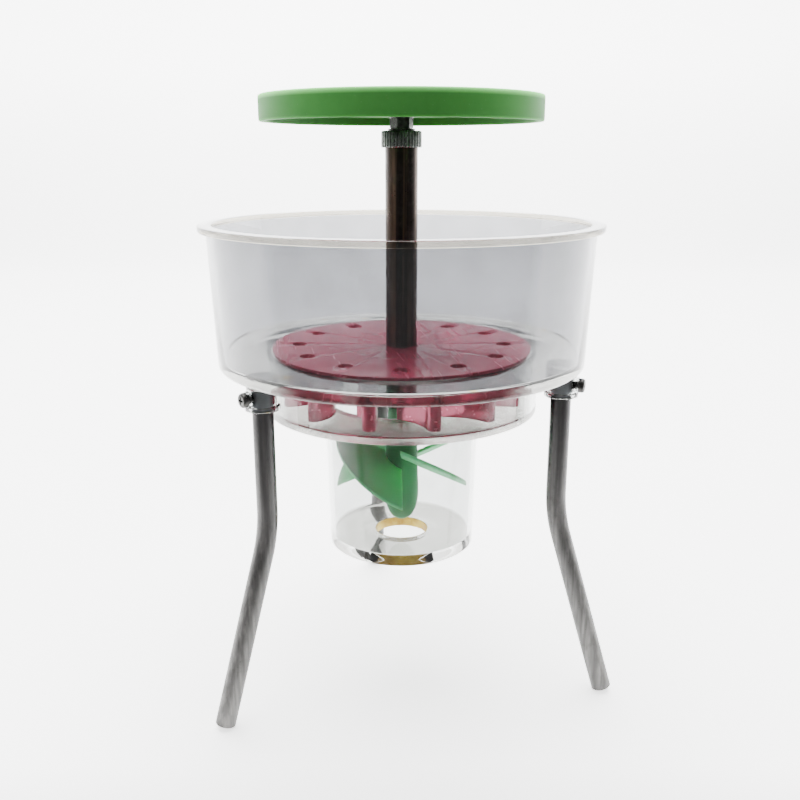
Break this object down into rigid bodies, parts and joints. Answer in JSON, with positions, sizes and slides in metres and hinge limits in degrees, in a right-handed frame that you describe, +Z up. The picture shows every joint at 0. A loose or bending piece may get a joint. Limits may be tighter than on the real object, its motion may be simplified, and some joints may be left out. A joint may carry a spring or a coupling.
{
  "type": "propeller water turbine model",
  "caption": "Bench model of a vertical propeller water turbine: clear tank on a bent-leg tripod, lift-out guide ring, draft tube, runner and belt pulley on one shaft.",
  "frame": {"origin": "the turbine axis, in the plane that the three feet stand on", "axes": "+Z up along the turbine axis; +Y towards the back leg, the other two legs straddle -Y; +X to the right seen from the front"},
  "size_m": [0.2046, 0.2174, 0.2993],
  "materials": {
    "clear_acrylic": "polished, faintly grey",
    "red_acrylic": "polished, translucent",
    "amber_varnish": "glossy",
    "aluminium": "dull, mottled",
    "dark_brass": "tarnished",
    "dark_steel": "dull, knurled",
    "steel": "satin",
    "green_plastic": "satin",
    "blue_green_plastic": "satin"
  },
  "bodies": {
    "tank": {"chamber_floor": "clear_acrylic", "chamber_wall": "clear_acrylic", "draft_tube_floor": "clear_acrylic", "draft_tube_wall": "clear_acrylic", "leg_back": "aluminium", "leg_left": "aluminium", "leg_right": "aluminium", "leg_screws": "steel", "leg_socket_back": "clear_acrylic", "leg_socket_left": "clear_acrylic", "leg_socket_right": "clear_acrylic", "outlet_lining": "amber_varnish", "rim_ring": "clear_acrylic", "tank_floor": "clear_acrylic", "tank_wall": "clear_acrylic"},
    "insert": {"bearing_cap": "dark_steel", "guide_disc": "red_acrylic", "guide_tube": "dark_brass", "guide_vane_01": "red_acrylic", "guide_vane_02": "red_acrylic", "guide_vane_03": "red_acrylic", "guide_vane_04": "red_acrylic", "guide_vane_05": "red_acrylic", "guide_vane_06": "red_acrylic", "guide_vane_07": "red_acrylic", "guide_vane_08": "red_acrylic", "guide_vane_09": "red_acrylic", "guide_vane_10": "red_acrylic", "guide_vane_11": "red_acrylic", "guide_vane_12": "red_acrylic", "lower_bearing": "dark_brass", "thrust_washer": "steel", "upper_bearing": "dark_brass"},
    "rotor": {"lock_nut": "steel", "lower_washer": "steel", "pulley": "green_plastic", "runner_blade_1": "blue_green_plastic", "runner_blade_2": "blue_green_plastic", "runner_blade_3": "blue_green_plastic", "runner_blade_4": "blue_green_plastic", "runner_hub": "blue_green_plastic", "shaft": "steel", "top_nut": "steel", "upper_washer": "steel"}
  },
  "joints": [
    {"name": "insert_lift", "type": "slide", "parent": "tank", "child": "insert", "axis": [0, 0, 1], "range_m": [0, 0.17]},
    {"name": "rotor_spin", "type": "hinge", "parent": "insert", "child": "rotor", "pos_m": [0, 0, 0.2], "axis": [0, 0, 1], "continuous": true}
  ]
}
